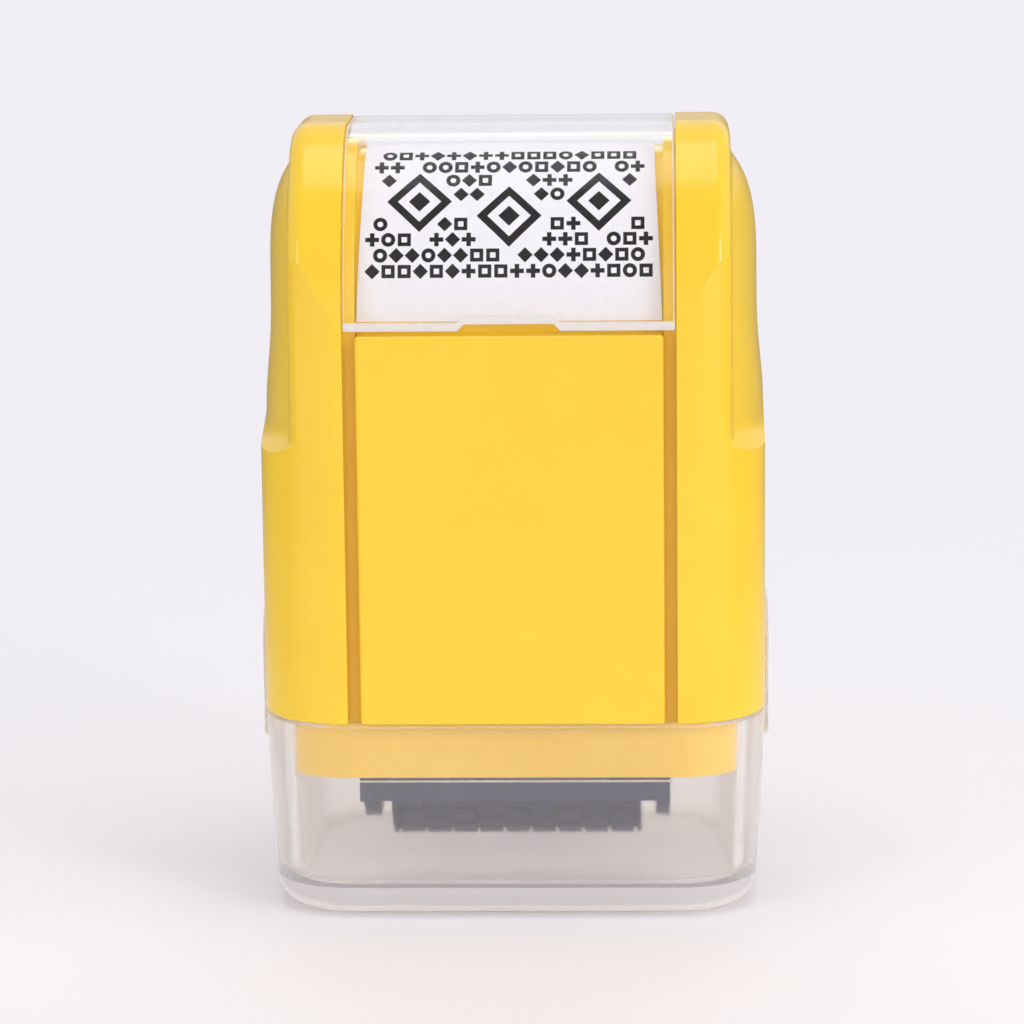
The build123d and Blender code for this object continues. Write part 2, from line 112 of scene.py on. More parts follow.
def blend_colours(tree, mask, first, second):
    """Colour first where the mask is 0 and second where it is 1."""
    mixed = tree.nodes.new("ShaderNodeMix")
    mixed.data_type = "RGBA"
    wire(tree, mixed.inputs[0], mask)
    wire(tree, mixed.inputs[6], first)
    wire(tree, mixed.inputs[7], second)
    return mixed.outputs[2]


def relief(tree, shader, height, depth):
    """Bump of this real depth, in metres, on the shader."""
    bump = tree.nodes.new("ShaderNodeBump")
    bump.inputs["Distance"].default_value = depth
    wire(tree, bump.inputs["Height"], height)
    wire(tree, shader.inputs["Normal"], bump.outputs["Normal"])


# Counts are in cells a metre. A roughness pair is for a mask of 0 and a mask of 1
foam_cell_count = 3800
foam_patch_count = 160
foam_depth = 0.00012
foam_roughness = (0.75, 0.28)
foam_dry = (0.060, 0.058, 0.075, 1)
foam_wet = (0.010, 0.010, 0.016, 1)

ink_foam, tree, shader = new_finish("ink_foam")
foam_cells = cells(tree, place(tree), foam_cell_count)
wet_patches = noise(tree, place(tree), foam_patch_count)
wetness = spread(tree, wet_patches, 0.2, 1.0)
wire(tree, shader.inputs["Base Color"], blend_colours(tree, wetness, foam_dry, foam_wet))
wire(tree, shader.inputs["Roughness"], spread(tree, wet_patches, *foam_roughness))
relief(tree, shader, foam_cells, foam_depth)
dress(ink_foam, "ink_roller_foam")


def moulded_skin():
    """Node group: the faint grain and the handling smudges of moulded plastic."""
    group = bpy.data.node_groups.new("moulded_skin", "ShaderNodeTree")
    sockets = group.interface
    sockets.new_socket("Vector", in_out="INPUT", socket_type="NodeSocketVector")
    sockets.new_socket("Grain Count", in_out="INPUT", socket_type="NodeSocketFloat")
    sockets.new_socket("Smudge Count", in_out="INPUT", socket_type="NodeSocketFloat")
    sockets.new_socket("Grain", in_out="OUTPUT", socket_type="NodeSocketFloat")
    sockets.new_socket("Smudge", in_out="OUTPUT", socket_type="NodeSocketFloat")
    inside = group.nodes.new("NodeGroupInput")
    outside = group.nodes.new("NodeGroupOutput")
    grain = group.nodes.new("ShaderNodeTexNoise")
    grain.inputs["Detail"].default_value = 2.0
    group.links.new(inside.outputs["Vector"], grain.inputs["Vector"])
    group.links.new(inside.outputs["Grain Count"], grain.inputs["Scale"])
    group.links.new(grain.outputs["Fac"], outside.inputs["Grain"])
    smudge = group.nodes.new("ShaderNodeTexNoise")
    smudge.inputs["Detail"].default_value = 5.0
    smudge.inputs["Distortion"].default_value = 0.6
    group.links.new(inside.outputs["Vector"], smudge.inputs["Vector"])
    group.links.new(inside.outputs["Smudge Count"], smudge.inputs["Scale"])
    group.links.new(spread(group, smudge.outputs["Fac"], 0.0, 1.0), outside.inputs["Smudge"])
    return group


skin_group = moulded_skin()


def skin(tree, grain_count, smudge_count):
    """Places the moulded skin in a material and returns its grain and smudge masks."""
    node = tree.nodes.new("ShaderNodeGroup")
    node.node_tree = skin_group
    wire(tree, node.inputs["Vector"], place(tree))
    node.inputs["Grain Count"].default_value = grain_count
    node.inputs["Smudge Count"].default_value = smudge_count
    return node.outputs["Grain"], node.outputs["Smudge"]


pale_clean = (0.74, 0.72, 0.66, 1)
pale_inked = (0.30, 0.29, 0.33, 1)
pale_grain_count, pale_smudge_count = 2400, 220
pale_grain_depth = 0.00002
pale_roughness = (0.36, 0.50)

pale_plastic, tree, shader = new_finish("pale_bush")
grain, smudge = skin(tree, pale_grain_count, pale_smudge_count)
inkiness = spread(tree, smudge, 0.0, 0.5)
wire(tree, shader.inputs["Base Color"], blend_colours(tree, inkiness, pale_clean, pale_inked))
wire(tree, shader.inputs["Roughness"], spread(tree, smudge, *pale_roughness, 0.0, 1.0))
relief(tree, shader, grain, pale_grain_depth)
dress(pale_plastic, "ink_roller_core", "left_drum_bush", "right_drum_bush")

steel_bright = (0.62, 0.62, 0.64, 1)
steel_dull = (0.44, 0.44, 0.46, 1)
turning_mark_counts = (12000, 900, 900)
stain_count = 350
turning_depth = 0.000006
steel_roughness = (0.22, 0.40)

steel, tree, shader = new_finish("steel")
turning_marks = noise(tree, stretched(tree, place(tree), turning_mark_counts), 1, 2)
stains = spread(tree, noise(tree, place(tree), stain_count, 4), 0, 1)
wire(tree, shader.inputs["Base Color"], blend_colours(tree, stains, steel_bright, steel_dull))
shader.inputs["Metallic"].default_value = 1.0
wire(tree, shader.inputs["Roughness"], spread(tree, turning_marks, *steel_roughness))
relief(tree, shader, turning_marks, turning_depth)
dress(steel, "ink_roller_axle", "drum_axle", "neck_screws")

# Stamp drum
# Dark moulded rubber sleeve with raised blocks in staggered rows, pressed on a
# plastic hub. The blocks' faces are glossy with ink, the grooves dull.
rubber_bare = (0.014, 0.020, 0.090, 1)
rubber_inked = (0.010, 0.015, 0.072, 1)
drum_axis_height = 0.015
drum_radius = 0.0095
relief_depth = 0.00045
ink_break_count = 900
rubber_grain_count = 5200
rubber_grain_depth = 0.00002
rubber_roughness = (0.62, 0.42)

rubber, tree, shader = new_finish("stamp_rubber")
parts = tree.nodes.new("ShaderNodeSeparateXYZ")
wire(tree, parts.inputs["Vector"], place(tree))


def maths(tree, operation, *values):
    """One step of arithmetic on numbers or sockets."""
    step = tree.nodes.new("ShaderNodeMath")
    step.operation = operation
    for socket, value in zip(step.inputs, values):
        wire(tree, socket, value)
    return step.outputs["Value"]


above_axis = maths(tree, "SUBTRACT", parts.outputs["Z"], drum_axis_height)
from_axis = maths(
    tree,
    "SQRT",
    maths(tree, "ADD", maths(tree, "POWER", above_axis, 2.0), maths(tree, "POWER", parts.outputs["Y"], 2.0)),
)
inked = spread(tree, from_axis, 0.0, 1.0, drum_radius - relief_depth, drum_radius - relief_depth / 4)
ink_breaks = noise(tree, place(tree), ink_break_count, 4)
ink_film = maths(tree, "MULTIPLY", inked, spread(tree, ink_breaks, 0.55, 1.0))
wire(tree, shader.inputs["Base Color"], blend_colours(tree, ink_film, rubber_bare, rubber_inked))
wire(tree, shader.inputs["Roughness"], spread(tree, ink_film, *rubber_roughness, 0.0, 1.0))
shader.inputs["Specular IOR Level"].default_value = 0.3
relief(tree, shader, noise(tree, place(tree), rubber_grain_count, 3), rubber_grain_depth)
dress(rubber, "stamp_sleeve")

# Ink cartridge
# A dark navy hood and two end plates, moulded with a satin face, hold the drum
# and the ink roller. A black felt under the hood's top feeds the roller.
cartridge_colour = (0.012, 0.018, 0.085, 1)
cartridge_worn = (0.020, 0.028, 0.105, 1)
satin_grain_count, satin_smudge_count = 5000, 190
satin_depth = 0.00004
satin_roughness = (0.40, 0.54)

dark_plastic, tree, shader = new_finish("dark_plastic")
grain, smudge = skin(tree, satin_grain_count, satin_smudge_count)
wire(tree, shader.inputs["Base Color"], blend_colours(tree, smudge, cartridge_colour, cartridge_worn))
wire(tree, shader.inputs["Roughness"], spread(tree, smudge, *satin_roughness, 0.0, 1.0))
relief(tree, shader, grain, satin_depth)
dress(dark_plastic, "cartridge_hood", "left_end_plate", "right_end_plate", "drum_hub")

felt_dark = (0.010, 0.010, 0.014, 1)
felt_fibre = (0.045, 0.044, 0.055, 1)
felt_fibre_count = 5200
felt_fibre_run = (1.0, 0.35, 1.6)
felt_depth = 0.0002

felt, tree, shader = new_finish("ink_felt")
fibres = noise(tree, stretched(tree, place(tree), felt_fibre_run), felt_fibre_count, 5, 0.7)
felt_tone = blend_colours(tree, spread(tree, fibres, 0, 1), felt_dark, felt_fibre)
wire(tree, shader.inputs["Base Color"], felt_tone)
shader.inputs["Roughness"].default_value = 0.85
shader.inputs["Sheen Weight"].default_value = 0.25
relief(tree, shader, fibres, felt_depth)
dress(felt, "ink_felt")

# Painted highlight cords
# The lip at the hood's foot is stepped. A thin white cord lies on the step at the front and at the back,
# from end plate to end plate: a painted highlight along the lip's edge, not a real seal.
lip_height = 0.0023
cord_radius = 0.00011
cord_sides = 10
# The cord's white is a painted highlight, a little duller where the smudge noise falls
highlight_cord_white = (0.98, 0.97, 0.95, 1)
highlight_cord_dull = (0.93, 0.92, 0.90, 1)
highlight_cord_roughness = 0.35
highlight_cord_grain_depth = 0.00001
hood_low, hood_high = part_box("cartridge_hood")
plate_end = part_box("right_end_plate")[1].x

highlight_cord_mesh = bpy.data.meshes.new("hood_highlight_cord")
highlight_cord_form = bmesh.new()
for hood_face in (hood_low.y, hood_high.y):
    cord = bmesh.ops.create_cone(
        highlight_cord_form,
        cap_ends=True,
        segments=cord_sides,
        radius1=cord_radius,
        radius2=cord_radius,
        depth=2 * plate_end,
        matrix=Matrix.Translation((0, hood_face, hood_low.z + lip_height - cord_radius))
        @ Matrix.Rotation(math.pi / 2, 4, "Y"),
    )
    around = {edge for corner in cord["verts"] for edge in corner.link_edges}
    ends = [edge for edge in around if abs(edge.verts[0].co.x - edge.verts[1].co.x) < cord_radius]
    bmesh.ops.bevel(
        highlight_cord_form,
        geom=ends,
        offset=cord_radius / 3,
        segments=2,
        profile=0.5,
        affect="EDGES",
        material=-1,
    )
highlight_cord_form.to_mesh(highlight_cord_mesh)
highlight_cord_form.free()
highlight_cord_mesh.shade_smooth()
hood_highlight_cord = bpy.data.objects.new("hood_highlight_cord", highlight_cord_mesh)
bpy.context.scene.collection.objects.link(hood_highlight_cord)
painted_highlight_cord, tree, shader = new_finish("painted_highlight_cord")
grain, smudge = skin(tree, pale_grain_count, pale_smudge_count)
wire(tree, shader.inputs["Base Color"], blend_colours(tree, smudge, highlight_cord_white, highlight_cord_dull))
shader.inputs["Roughness"].default_value = highlight_cord_roughness
relief(tree, shader, grain, highlight_cord_grain_depth)
highlight_cord_mesh.materials.append(painted_highlight_cord)
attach(hood_highlight_cord, "housing")

# Housing and neck
# Glossy yellow moulded plastic: two centre shells, two cheeks with the grip
# pads, and the neck frame that plugs into the cap, polished by handling.
yellow = (0.955, 0.640, 0.042, 1)
yellow_handled = (0.940, 0.615, 0.036, 1)
gloss_grain_count, gloss_smudge_count = 1500, 85
gloss_depth = 0.000006
gloss_roughness = (0.15, 0.20)
glow_share = 0.12
glow_colour = (1.0, 0.55, 0.12)
glow_reach = 0.0012

yellow_plastic, tree, shader = new_finish("yellow_shell")
grain, smudge = skin(tree, gloss_grain_count, gloss_smudge_count)
wire(tree, shader.inputs["Base Color"], blend_colours(tree, smudge, yellow, yellow_handled))
wire(tree, shader.inputs["Roughness"], spread(tree, smudge, *gloss_roughness, 0.0, 1.0))
shader.inputs["Subsurface Weight"].default_value = glow_share
shader.inputs["Subsurface Radius"].default_value = glow_colour
shader.inputs["Subsurface Scale"].default_value = glow_reach
relief(tree, shader, grain, gloss_depth)
dress(yellow_plastic, "front_shell", "rear_shell", "left_cheek", "right_cheek", "neck_frame")

# Label card
# White coated paper bent over the top under the clear cover. A masking pattern
# of small rings, squares, diamonds and crosses is printed in dark grey on its
# sloping faces, with three larger lozenges.
paper = (0.860, 0.835, 0.880, 1)
paper_fibre = (0.815, 0.792, 0.838, 1)
print_ink = (0.014, 0.012, 0.012, 1)
shoulder_drop = 0.020
body_crown_radius = 0.008
lean_angle = math.pi / 4
cheek_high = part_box("right_cheek")[1]
label_depth = cheek_high.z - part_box("label_card")[1].z
shoulder_height = cheek_high.z - shoulder_drop
crown_height = cheek_high.z - body_crown_radius
body_lean_radius = body_crown_radius + (crown_height - shoulder_height) / math.sin(lean_angle)
lean_centre = cheek_high.y - body_lean_radius
crown_centre = lean_centre + (crown_height - shoulder_height) / math.tan(lean_angle)
lean_radius = body_lean_radius - label_depth
crown_radius = body_crown_radius - label_depth
print_start = 0.00503
row_pitch = 0.00163
row_count = 9
print_half_width = 0.0149
print_narrowing = 0.00006
lozenges = ((-0.0091, 0.0132), (0.0, 0.0116), (0.0091, 0.0132))
lozenge_reach = 0.0033
lozenge_line = 0.0011
lozenge_margin = 0.0017
# The motifs' lines and reaches, as shares of a cell
ring_middle, ring_half_line = 0.31, 0.13
square_middle, square_half_line = 0.29, 0.12
diamond_reach = 0.48
cross_half_line, cross_reach = 0.14, 0.43
paper_fibre_count = 2600
paper_depth = 0.00001
paper_roughness = (0.52, 0.34)

label_paper, tree, shader = new_finish("label_paper")
parts = tree.nodes.new("ShaderNodeSeparateXYZ")
wire(tree, parts.inputs["Vector"], place(tree))
across = parts.outputs["X"]
outward = maths(tree, "ABSOLUTE", parts.outputs["Y"])


def turn_about(centre, height):
    """Angle round one of the arch's centres, from level."""
    rise = maths(tree, "SUBTRACT", parts.outputs["Z"], height)
    reach = maths(tree, "SUBTRACT", outward, centre)
    return maths(tree, "ARCTAN2", rise, reach)


lean_turn = turn_about(lean_centre, shoulder_height)
crown_turn = turn_about(crown_centre, crown_height)
lean_run = maths(tree, "MULTIPLY", lean_turn, lean_radius)
crown_part = maths(tree, "MULTIPLY", maths(tree, "SUBTRACT", crown_turn, lean_angle), crown_radius)
crown_run = maths(tree, "ADD", crown_part, lean_radius * lean_angle)
on_crown = maths(tree, "GREATER_THAN", lean_turn, lean_angle)
run = maths(
    tree,
    "ADD",
    maths(tree, "MULTIPLY", crown_run, on_crown),
    maths(tree, "MULTIPLY", lean_run, maths(tree, "SUBTRACT", 1.0, on_crown)),
)
row_place = maths(tree, "DIVIDE", maths(tree, "SUBTRACT", run, print_start), row_pitch)
row = maths(tree, "FLOOR", row_place)
stagger = maths(tree, "MULTIPLY", maths(tree, "MODULO", row, 2.0), 0.5)
column_place = maths(tree, "ADD", maths(tree, "DIVIDE", across, row_pitch), stagger)
column = maths(tree, "FLOOR", column_place)
cell_x = maths(tree, "ABSOLUTE", maths(tree, "SUBTRACT", maths(tree, "FRACT", column_place), 0.5))
cell_y = maths(tree, "ABSOLUTE", maths(tree, "SUBTRACT", maths(tree, "FRACT", row_place), 0.5))
cell_name = tree.nodes.new("ShaderNodeCombineXYZ")
wire(tree, cell_name.inputs["X"], column)
wire(tree, cell_name.inputs["Y"], row)
draw = tree.nodes.new("ShaderNodeTexWhiteNoise")
draw.noise_dimensions = "2D"
wire(tree, draw.inputs["Vector"], cell_name.outputs["Vector"])

square_reach = maths(tree, "MAXIMUM", cell_x, cell_y)
round_reach = maths(
    tree, "SQRT", maths(tree, "ADD", maths(tree, "POWER", cell_x, 2.0), maths(tree, "POWER", cell_y, 2.0))
)


def band(value, middle, half_width):
    """1 where the value lies within half_width of middle."""
    return maths(tree, "COMPARE", value, middle, half_width)


ring = band(round_reach, ring_middle, ring_half_line)
hollow_square = band(square_reach, square_middle, square_half_line)
diamond = maths(tree, "LESS_THAN", maths(tree, "ADD", cell_x, cell_y), diamond_reach)
cross = maths(
    tree,
    "MULTIPLY",
    maths(tree, "LESS_THAN", maths(tree, "MINIMUM", cell_x, cell_y), cross_half_line),
    maths(tree, "LESS_THAN", square_reach, cross_reach),
)
motifs = (ring, hollow_square, diamond, cross)
half_chance = 0.5 / len(motifs)
small_motifs = None
for order, motif in enumerate(motifs):
    drawn = band(draw.outputs["Value"], (2 * order + 1) * half_chance, half_chance)
    chosen = maths(tree, "MULTIPLY", motif, drawn)
    small_motifs = chosen if small_motifs is None else maths(tree, "ADD", small_motifs, chosen)
in_rows = band(row, (row_count - 1) / 2, row_count / 2)
middle_across = maths(
    tree, "MULTIPLY", maths(tree, "SUBTRACT", maths(tree, "ADD", column, 0.5), stagger), row_pitch
)
row_end = maths(tree, "MULTIPLY_ADD", row, -print_narrowing, print_half_width - row_pitch / 2)
in_width = maths(tree, "LESS_THAN", maths(tree, "ABSOLUTE", middle_across), row_end)
printed = maths(tree, "MULTIPLY", small_motifs, maths(tree, "MULTIPLY", in_rows, in_width))
middle_run = maths(tree, "ADD", maths(tree, "MULTIPLY", maths(tree, "ADD", row, 0.5), row_pitch), print_start)


def lozenge_distance(x, y, centre_across, centre_run):
    """How far a place is from a lozenge's centre, measured along its slant."""
    sideways = maths(tree, "ABSOLUTE", maths(tree, "SUBTRACT", x, centre_across))
    upwards = maths(tree, "ABSOLUTE", maths(tree, "SUBTRACT", y, centre_run))
    return maths(tree, "ADD", sideways, upwards)


for lozenge_across, lozenge_run in lozenges:
    from_cell = lozenge_distance(middle_across, middle_run, lozenge_across, lozenge_run)
    clear = maths(tree, "GREATER_THAN", from_cell, lozenge_reach + lozenge_margin)
    printed = maths(tree, "MULTIPLY", printed, clear)
    reach = lozenge_distance(across, run, lozenge_across, lozenge_run)
    outline = band(reach, lozenge_reach - lozenge_line / 2, lozenge_line / 2)
    core = maths(tree, "LESS_THAN", reach, lozenge_line)
    printed = maths(tree, "MAXIMUM", printed, maths(tree, "MAXIMUM", outline, core))
fibres = noise(tree, place(tree), paper_fibre_count, 4, 0.65)
bare_paper = blend_colours(tree, spread(tree, fibres, 0, 1), paper, paper_fibre)
wire(tree, shader.inputs["Base Color"], blend_colours(tree, printed, bare_paper, print_ink))
wire(tree, shader.inputs["Roughness"], spread(tree, printed, *paper_roughness, 0.0, 1.0))
shader.inputs["Specular IOR Level"].default_value = 0.2
relief(tree, shader, fibres, paper_depth)
dress(label_paper, "label_card")

# Window cover
# Clear polished plastic that snaps over the label. It is as clear as glass,
# with a few hair scratches from the thumb that lifts it.
clear_tint = (0.985, 0.985, 0.980, 1)
clear_roughness = (0.010, 0.028)
clear_ior = 1.17
scratch_counts = (9000, 700, 260)
cover_light_share = 0.12
# A ray that has been bent or mirrored more often than this goes straight on
most_turns = 3.5


def let_light_through(tree, shader, share):
    """Lets this share of the lamps' light through, and all light that was caught in the wall."""
    output = tree.nodes["Material Output"]
    light = tree.nodes.new("ShaderNodeLightPath")
    through = tree.nodes.new("ShaderNodeBsdfTransparent")
    mixed = tree.nodes.new("ShaderNodeMixShader")
    passing = maths(tree, "MULTIPLY", light.outputs["Is Shadow Ray"], share)
    caught = maths(tree, "GREATER_THAN", light.outputs["Ray Depth"], most_turns)
    wire(tree, mixed.inputs["Fac"], maths(tree, "MAXIMUM", passing, caught))
    wire(tree, mixed.inputs[1], shader.outputs["BSDF"])
    wire(tree, mixed.inputs[2], through.outputs["BSDF"])
    wire(tree, output.inputs["Surface"], mixed.outputs["Shader"])


clear_plastic, tree, shader = new_finish("clear_window")
shader.inputs["Base Color"].default_value = clear_tint
shader.inputs["Transmission Weight"].default_value = 1.0
shader.inputs["IOR"].default_value = clear_ior
shader.inputs["Sheen Weight"].default_value = 0.5
shader.inputs["Sheen Roughness"].default_value = 0.25
scratches = noise(tree, stretched(tree, place(tree), scratch_counts), 1, 3, 0.7)
wire(tree, shader.inputs["Roughness"], spread(tree, scratches, *clear_roughness, 0.6, 0.8))
let_light_through(tree, shader, cover_light_share)
dress(clear_plastic, "window_cover")

# Cover's edges
# The cover's lower edge is thickened by a low bead with a matt white face, which follows the fingernail
# notch;
# its white is a painted highlight and reflection of the edge's bevel. The faces along its sides get the same
# matt white, painted glints.
notch_half_width = 0.0045
notch_height = 0.0007
bead_height = 0.00090
bead_depth = 0.00045
bead_proud = 0.00008
bead_rounding = 0.00014
side_zone = 0.00025
# Painted highlight white for the bead and the cover's side faces, varied by moulding marks
edge_painted_glint = (0.90, 0.88, 0.885, 1)
edge_painted_glint_dull = (0.82, 0.80, 0.805, 1)
edge_roughness = (0.30, 0.42)
edge_clearness = 0.40
edge_ior = 1.49
edge_light_share = 0.6
moulding_mark_count = 4200
moulding_mark_run = (0.25, 1, 1)
moulding_depth = 0.000003
sharp_turn = math.radians(60)

cover_low, cover_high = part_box("window_cover")
lower_line = (
    (cover_low.x, 0),
    (-notch_half_width - notch_height, 0),
    (-notch_half_width, notch_height),
    (notch_half_width, notch_height),
    (notch_half_width + notch_height, 0),
    (cover_high.x, 0),
)
bead_mesh = bpy.data.meshes.new("cover_edge_bead")
bead_form = bmesh.new()
for side in (-1, 1):
    outside = side * (cover_high.y + bead_proud)
    foot = [bead_form.verts.new((x, outside, cover_low.z + rise)) for x, rise in lower_line]
    line = [bead_form.edges.new(ends) for ends in zip(foot, foot[1:])]
    raised = bmesh.ops.extrude_edge_only(bead_form, edges=line)["geom"]
    top = [item for item in raised if isinstance(item, bmesh.types.BMVert)]
    bmesh.ops.translate(bead_form, verts=top, vec=(0, 0, bead_height))
    face = [item for item in raised if isinstance(item, bmesh.types.BMFace)]
    pushed = bmesh.ops.extrude_face_region(bead_form, geom=face, use_keep_orig=True)["geom"]
    inner = [item for item in pushed if isinstance(item, bmesh.types.BMVert)]
    bmesh.ops.translate(bead_form, verts=inner, vec=(0, -side * bead_depth, 0))
bmesh.ops.recalc_face_normals(bead_form, faces=bead_form.faces[:])
sharp = [edge for edge in bead_form.edges if edge.calc_face_angle(0) > sharp_turn]
bmesh.ops.bevel(
    bead_form,
    geom=sharp,
    offset=bead_rounding,
    segments=3,
    profile=0.5,
    affect="EDGES",
    material=-1,
)
bead_form.to_mesh(bead_mesh)
bead_form.free()
bead_mesh.shade_smooth()
cover_edge_bead = bpy.data.objects.new("cover_edge_bead", bead_mesh)
bpy.context.scene.collection.objects.link(cover_edge_bead)

painted_glint_edge, tree, shader = new_finish("cover_edge")
moulding_marks = noise(
    tree, stretched(tree, place(tree), moulding_mark_run), moulding_mark_count, 3, 0.6
)
edge_painted_glint_tone = blend_colours(tree, spread(tree, moulding_marks, 0, 1), edge_painted_glint, edge_painted_glint_dull)
wire(tree, shader.inputs["Base Color"], edge_painted_glint_tone)
wire(tree, shader.inputs["Roughness"], spread(tree, moulding_marks, *edge_roughness))
shader.inputs["Transmission Weight"].default_value = edge_clearness
shader.inputs["IOR"].default_value = edge_ior
relief(tree, shader, moulding_marks, moulding_depth)
let_light_through(tree, shader, edge_light_share)
bead_mesh.materials.append(painted_glint_edge)
cover_mesh = nodes["window_cover"].data
cover_mesh.materials.append(painted_glint_edge)
# The cover's side faces get the painted glint finish
for face in cover_mesh.polygons:
    places = [cover_mesh.vertices[corner].co.x for corner in face.vertices]
    if min(places) > cover_high.x - side_zone or max(places) < cover_low.x + side_zone:
        face.material_index = 1
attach(cover_edge_bead, "window")

# Cap
# Natural polypropylene, milky and half clear, so that the neck and the
# cartridge show through it softened. Its thick base is milkier, partly for its thickness and partly as
# painted light over the shade of the floor under it.
# The walls at both sides, seen edge on from the front, are made milkier too: painted haze, brighter than the
# front and back.
milky = (0.950, 0.920, 0.900, 1)
milky_thick = (0.925, 0.893, 0.872, 1)
base_zone = 0.0037
side_reach = 0.0225
# The base's lower clearness is partly its thickness and partly painted light over its shade; the sides' is
# painted haze
wall_clearness, base_clearness, side_painted_haze_clearness = 0.92, 0.58, 0.82
cap_grain_count, cap_smudge_count = 3000, 60
cap_depth = 0.00001
cap_roughness = (0.10, 0.16)
cap_ior = 1.26
haze_tint = (1.0, 0.965, 0.925, 1)
cap_light_share = 0.20


def frosted(name, clearness):
    """The cap's finish, this clear."""
    finish, tree, shader = new_finish(name)
    grain, smudge = skin(tree, cap_grain_count, cap_smudge_count)
    wire(tree, shader.inputs["Base Color"], blend_colours(tree, smudge, milky, milky_thick))
    wire(tree, shader.inputs["Roughness"], spread(tree, smudge, *cap_roughness, 0.0, 1.0))
    shader.inputs["Transmission Weight"].default_value = clearness
    shader.inputs["IOR"].default_value = cap_ior
    shader.inputs["Sheen Weight"].default_value = 1.0
    shader.inputs["Sheen Roughness"].default_value = 0.35
    shader.inputs["Sheen Tint"].default_value = haze_tint
    relief(tree, shader, grain, cap_depth)
    let_light_through(tree, shader, cap_light_share)
    return finish


dress(frosted("frosted_cap", wall_clearness), "base_cap")
cap_mesh = nodes["base_cap"].data
cap_mesh.materials.append(frosted("frosted_cap_base", base_clearness))
cap_mesh.materials.append(frosted("frosted_cap_painted_haze", side_painted_haze_clearness))
for face in cap_mesh.polygons:
    corners = [cap_mesh.vertices[corner].co for corner in face.vertices]
    places = [corner.x for corner in corners]
    if max(corner.z for corner in corners) < base_zone:
        face.material_index = 1
    # Side faces, seen edge on from the front, get the painted haze finish
    elif min(places) > side_reach or max(places) < -side_reach:
        face.material_index = 2

# Studio
# A wide pale floor that fades into a plain pale surround, tall soft boxes at
# both sides, one overhead, and broad dim fills all round that show in no gloss.
floor_half = 1.5
floor_fade_start, floor_fade_end = 0.045, 0.28
floor_colour = (0.955, 0.938, 0.965, 1)
floor_worn = (0.935, 0.918, 0.945, 1)
floor_tone_count = 9.0
surround = (0.875, 0.858, 0.905, 1)
ambient_strength = 0.55
# How bright the room looks in gloss: low down and high up, in front and behind
front_levels = (0.95, 0.18)
back_levels = (0.25, 0.95)
# Where these change, as parts of a ray's unit direction
front_limits = (-0.45, -0.10)
front_rise = (0.05, 0.30)
back_rise = (0.0, 0.20)

floor_mesh = bpy.data.meshes.new("floor")
floor_form = bmesh.new()
bmesh.ops.create_grid(floor_form, x_segments=1, y_segments=1, size=floor_half)
floor_form.to_mesh(floor_mesh)
floor_form.free()
floor = bpy.data.objects.new("floor", floor_mesh)
bpy.context.scene.collection.objects.link(floor)
floor_finish, tree, shader = new_finish("floor")
tone = spread(tree, noise(tree, place(tree), floor_tone_count, 3), 0, 1)
wire(tree, shader.inputs["Base Color"], blend_colours(tree, tone, floor_colour, floor_worn))
shader.inputs["Roughness"].default_value = 0.8
away = tree.nodes.new("ShaderNodeVectorMath")
away.operation = "LENGTH"
wire(tree, away.inputs[0], place(tree))
faded = spread(tree, away.outputs["Value"], 0.0, 1.0, floor_fade_start, floor_fade_end)
beyond = tree.nodes.new("ShaderNodeBsdfTransparent")
floor_mix = tree.nodes.new("ShaderNodeMixShader")
wire(tree, floor_mix.inputs["Fac"], faded)
wire(tree, floor_mix.inputs[1], shader.outputs["BSDF"])
wire(tree, floor_mix.inputs[2], beyond.outputs["BSDF"])
wire(tree, tree.nodes["Material Output"].inputs["Surface"], floor_mix.outputs["Shader"])
floor_mesh.materials.append(floor_finish)

world = bpy.data.worlds.new("studio")
bpy.context.scene.world = world
world.use_nodes = True
tree = world.node_tree
background = tree.nodes["Background"]
light = tree.nodes.new("ShaderNodeLightPath")
direction = tree.nodes.new("ShaderNodeSeparateXYZ")
wire(tree, direction.inputs["Vector"], tree.nodes.new("ShaderNodeTexCoord").outputs["Generated"])
in_front = spread(tree, direction.outputs["Y"], 1.0, 0.0, *front_limits)
front_level = spread(tree, direction.outputs["Z"], *front_levels, *front_rise)
back_level = spread(tree, direction.outputs["Z"], *back_levels, *back_rise)
reflected = maths(
    tree,
    "ADD",
    maths(tree, "MULTIPLY", in_front, front_level),
    maths(tree, "MULTIPLY", maths(tree, "SUBTRACT", 1.0, in_front), back_level),
)
first_look = maths(tree, "LESS_THAN", light.outputs["Diffuse Depth"], 0.5)
looked_at = maths(tree, "MAXIMUM", light.outputs["Is Camera Ray"], light.outputs["Is Transmission Ray"])
seen = maths(tree, "MULTIPLY", looked_at, first_look)
mirrored = maths(
    tree,
    "MULTIPLY",
    maths(tree, "MULTIPLY", light.outputs["Is Glossy Ray"], first_look),
    maths(tree, "SUBTRACT", 1.0, seen),
)
strength = maths(
    tree,
    "ADD",
    maths(tree, "MULTIPLY_ADD", seen, 1.0 - ambient_strength, ambient_strength),
    maths(tree, "MULTIPLY", mirrored, maths(tree, "SUBTRACT", reflected, ambient_strength)),
)
background.inputs["Color"].default_value = surround
wire(tree, background.inputs["Strength"], strength)


lamps_aim = Vector((0, 0, 0.045))


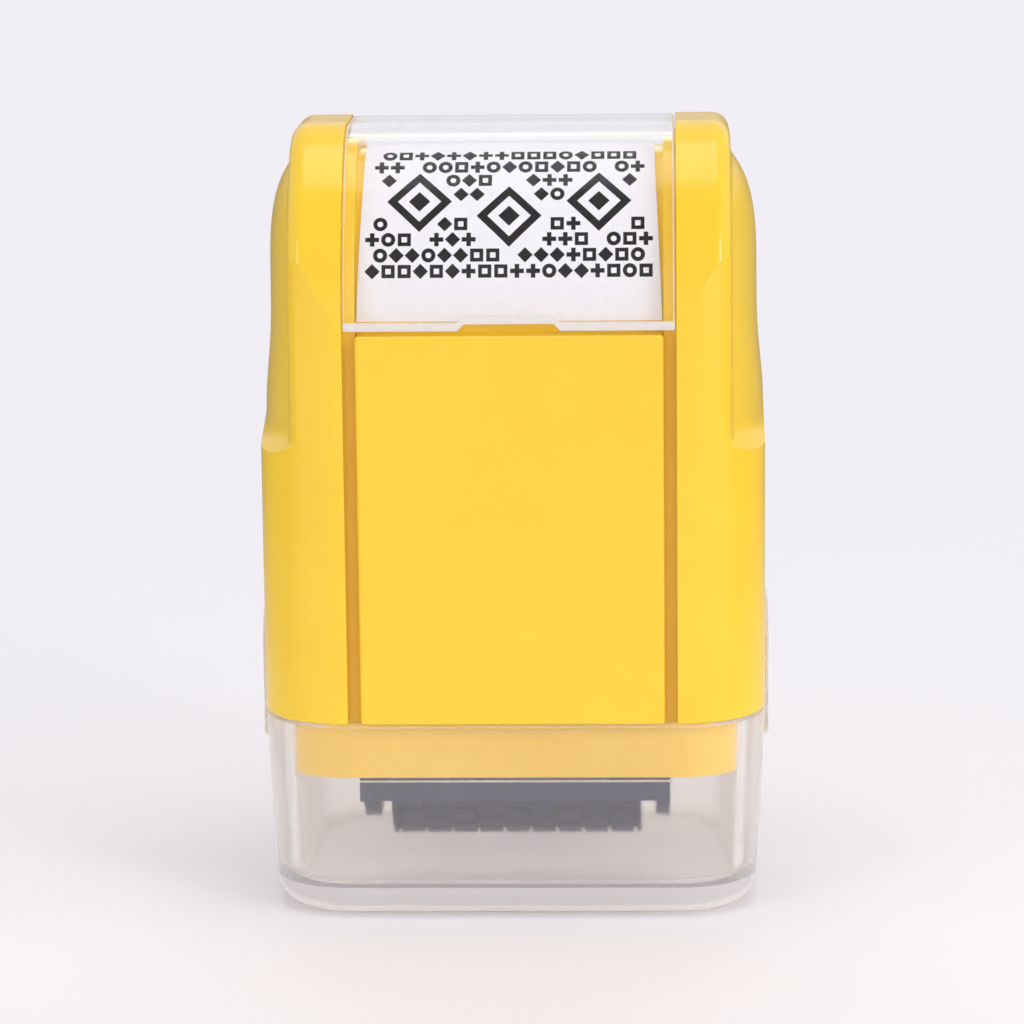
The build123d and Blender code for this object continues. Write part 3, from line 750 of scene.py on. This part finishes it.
def soft_box(name, azimuth, elevation, distance, width, height, watts, in_gloss=True):
    """An area lamp that faces the part, placed round it by angles in degrees and metres."""
    lamp = bpy.data.lights.new(name, "AREA")
    lamp.shape = "RECTANGLE"
    lamp.size = width
    lamp.size_y = height
    lamp.energy = watts
    holder = bpy.data.objects.new(name, lamp)
    holder.visible_glossy = in_gloss
    bpy.context.scene.collection.objects.link(holder)
    turn, rise = math.radians(azimuth), math.radians(elevation)
    back = Vector((math.sin(turn) * math.cos(rise), -math.cos(turn) * math.cos(rise), math.sin(rise)))
    facing = back.to_track_quat("Z", "Y").to_matrix().to_4x4()
    holder.matrix_world = Matrix.Translation(lamps_aim + distance * back) @ facing


soft_box("left_box", -44, 14, 0.8, 0.24, 0.46, 1.1)
soft_box("right_box", 46, 14, 0.8, 0.24, 0.46, 1.9)
soft_box("top_box", 10, 80, 0.9, 0.6, 0.5, 1.8)
soft_box("front_fill", 8, 14, 1.0, 0.8, 0.5, 1.0, in_gloss=False)
soft_box("back_fill", 180, 46, 0.9, 0.7, 0.4, 1.2, in_gloss=False)
soft_box("left_fill", -85, 20, 0.9, 0.5, 0.5, 0.8, in_gloss=False)
soft_box("right_fill", 85, 20, 0.9, 0.5, 0.5, 1.5, in_gloss=False)

# Camera
# A long lens in front of the part, a little above it and a little to the right.
camera_target = Vector((-0.00043, 0, 0.03977))
camera_distance = 0.450
camera_azimuth, camera_elevation, camera_roll = (math.radians(angle) for angle in (2.0, 10.8, -0.61))
camera_lens = 150.06
camera_sensor = 36

camera_data = bpy.data.cameras.new("camera")
camera_data.sensor_width = camera_sensor
camera_data.lens = camera_lens
camera_data.clip_start = 0.01
camera_data.clip_end = 50
camera = bpy.data.objects.new("camera", camera_data)
bpy.context.scene.collection.objects.link(camera)
camera_back = Vector(
    (
        math.sin(camera_azimuth) * math.cos(camera_elevation),
        -math.cos(camera_azimuth) * math.cos(camera_elevation),
        math.sin(camera_elevation),
    )
)
level_right = Vector((math.cos(camera_azimuth), math.sin(camera_azimuth), 0))
level_up = camera_back.cross(level_right)
rolled_right = level_right * math.cos(camera_roll) + level_up * math.sin(camera_roll)
rolled_up = level_up * math.cos(camera_roll) - level_right * math.sin(camera_roll)
turned = Matrix((rolled_right, rolled_up, camera_back)).transposed().to_4x4()
camera.matrix_world = Matrix.Translation(camera_target + camera_distance * camera_back) @ turned
bpy.context.scene.camera = camera
bpy.context.scene.view_settings.view_transform = "Standard"
